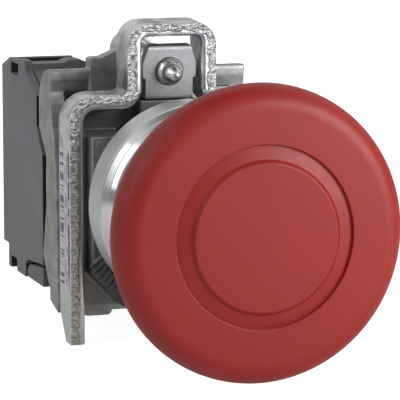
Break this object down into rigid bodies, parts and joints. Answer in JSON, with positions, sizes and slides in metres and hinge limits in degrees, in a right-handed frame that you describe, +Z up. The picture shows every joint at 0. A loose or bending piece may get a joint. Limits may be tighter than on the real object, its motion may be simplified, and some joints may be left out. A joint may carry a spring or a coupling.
{
  "type": "emergency stop button",
  "caption": "Push-pull emergency stop button: red mushroom head, metal bezel, rear clamp collar and clip-on contact blocks for a panel hole.",
  "frame": {"origin": "centre of the bezel gasket's rear face, on the head's axis, at the front face of the panel", "axes": "+X right as the operator faces the button, +Y back through the panel along the head's axis, +Z up towards the clamp screw"},
  "size_m": [0.04, 0.082, 0.0465],
  "materials": {
    "red_plastic": "satin moulded, fine grain",
    "grey_plastic": "moulded",
    "ivory_plastic": "moulded",
    "block_plastic": "fine texture",
    "latch_plastic": "fine texture",
    "signal_red_plastic": "moulded",
    "signal_green_plastic": "moulded",
    "black_rubber": "matt",
    "satin_chrome": "satin",
    "bright_chrome": "polished",
    "cast_zinc": "tumbled die-casting, dark zinc",
    "plated_steel": "zinc plated, sheared edges",
    "bright_steel": "zinc plated",
    "spring_steel": "plain wire",
    "contact_brass": "plain",
    "label_paper": "matt"
  },
  "bodies": {
    "fixed_unit": {"bezel": "satin_chrome", "bezel_gasket": "black_rubber", "lip_seal": "black_rubber", "seal_retainer": "bright_chrome", "detent_housing": "ivory_plastic", "detent_balls": "bright_chrome", "detent_springs": "spring_steel", "collar_body": "cast_zinc", "clamp_yoke": "plated_steel", "rating_label": "label_paper", "clamp_nut": "plated_steel", "clamp_washer": "bright_steel", "nc_housing": "block_plastic", "nc_cover": "block_plastic", "nc_return_spring": "spring_steel", "nc_terminal_upper": "contact_brass", "nc_terminal_lower": "contact_brass", "nc_clamp_plates": "plated_steel", "no_housing": "block_plastic", "no_cover": "block_plastic", "no_return_spring": "spring_steel", "no_terminal_upper": "contact_brass", "no_terminal_lower": "contact_brass", "no_clamp_plates": "plated_steel"},
    "head": {"mushroom_cap": "red_plastic", "cap_pin": "bright_steel", "plunger": "grey_plastic", "plunger_circlip": "spring_steel", "actuator_plate": "grey_plastic"},
    "clamping_screw": {"clamp_screw": "bright_steel"},
    "break_plunger": {"nc_plunger": "signal_red_plastic"},
    "break_bridge": {"nc_bridge": "contact_brass", "nc_bridge_spring": "spring_steel"},
    "break_screw_upper": {"nc_screw_upper": "bright_steel"},
    "break_screw_lower": {"nc_screw_lower": "bright_steel"},
    "break_latch": {"nc_latch": "latch_plastic"},
    "make_plunger": {"no_plunger": "signal_green_plastic"},
    "make_bridge": {"no_bridge": "contact_brass", "no_bridge_spring": "spring_steel"},
    "make_screw_upper": {"no_screw_upper": "bright_steel"},
    "make_screw_lower": {"no_screw_lower": "bright_steel"},
    "make_latch": {"no_latch": "latch_plastic"}
  },
  "joints": [
    {"name": "head_push", "type": "slide", "parent": "fixed_unit", "child": "head", "axis": [0, 1, 0], "range_m": [0, 0.0045]},
    {"name": "clamp_screw_turn", "type": "hinge", "parent": "fixed_unit", "child": "clamping_screw", "pos_m": [0, 0.013, 0.01803], "axis": [0, 0.9976, 0.0698], "continuous": true},
    {"name": "nc_plunger_push", "type": "slide", "parent": "fixed_unit", "child": "break_plunger", "axis": [0, 1, 0], "range_m": [0, 0.0045], "deforming": ["nc_return_spring"]},
    {"name": "nc_bridge_move", "type": "slide", "parent": "fixed_unit", "child": "break_bridge", "axis": [0, 1, 0], "range_m": [0, 0.00405], "deforming": ["nc_bridge_spring"]},
    {"name": "nc_screw_upper_turn", "type": "hinge", "parent": "fixed_unit", "child": "break_screw_upper", "pos_m": [-0.01, 0.041, 0.0114], "axis": [0, 1, 0], "continuous": true},
    {"name": "nc_screw_lower_turn", "type": "hinge", "parent": "fixed_unit", "child": "break_screw_lower", "pos_m": [-0.01, 0.041, -0.0084], "axis": [0, 1, 0], "continuous": true},
    {"name": "nc_latch_release", "type": "hinge", "parent": "fixed_unit", "child": "break_latch", "pos_m": [-0.01, 0.0312, -0.0149], "axis": [1, 0, 0], "range_deg": [0, 5], "stiffness_Nm_per_rad": 0.05},
    {"name": "no_plunger_push", "type": "slide", "parent": "fixed_unit", "child": "make_plunger", "axis": [0, 1, 0], "range_m": [0, 0.0045], "deforming": ["no_return_spring"]},
    {"name": "no_bridge_move", "type": "slide", "parent": "fixed_unit", "child": "make_bridge", "axis": [0, 1, 0], "range_m": [0, 0.0027], "deforming": ["no_bridge_spring"]},
    {"name": "no_screw_upper_turn", "type": "hinge", "parent": "fixed_unit", "child": "make_screw_upper", "pos_m": [0.01, 0.041, 0.0114], "axis": [0, 1, 0], "continuous": true},
    {"name": "no_screw_lower_turn", "type": "hinge", "parent": "fixed_unit", "child": "make_screw_lower", "pos_m": [0.01, 0.041, -0.0084], "axis": [0, 1, 0], "continuous": true},
    {"name": "no_latch_release", "type": "hinge", "parent": "fixed_unit", "child": "make_latch", "pos_m": [0.01, 0.0312, -0.0149], "axis": [1, 0, 0], "range_deg": [0, 5], "stiffness_Nm_per_rad": 0.05}
  ],
  "couplings": [
    {"joint": "nc_plunger_push", "follows": "head_push", "ratio": 1},
    {"joint": "nc_bridge_move", "follows": "head_push", "ratio": 0.9},
    {"joint": "no_plunger_push", "follows": "head_push", "ratio": 1},
    {"joint": "no_bridge_move", "follows": "head_push", "ratio": 0.6}
  ]
}
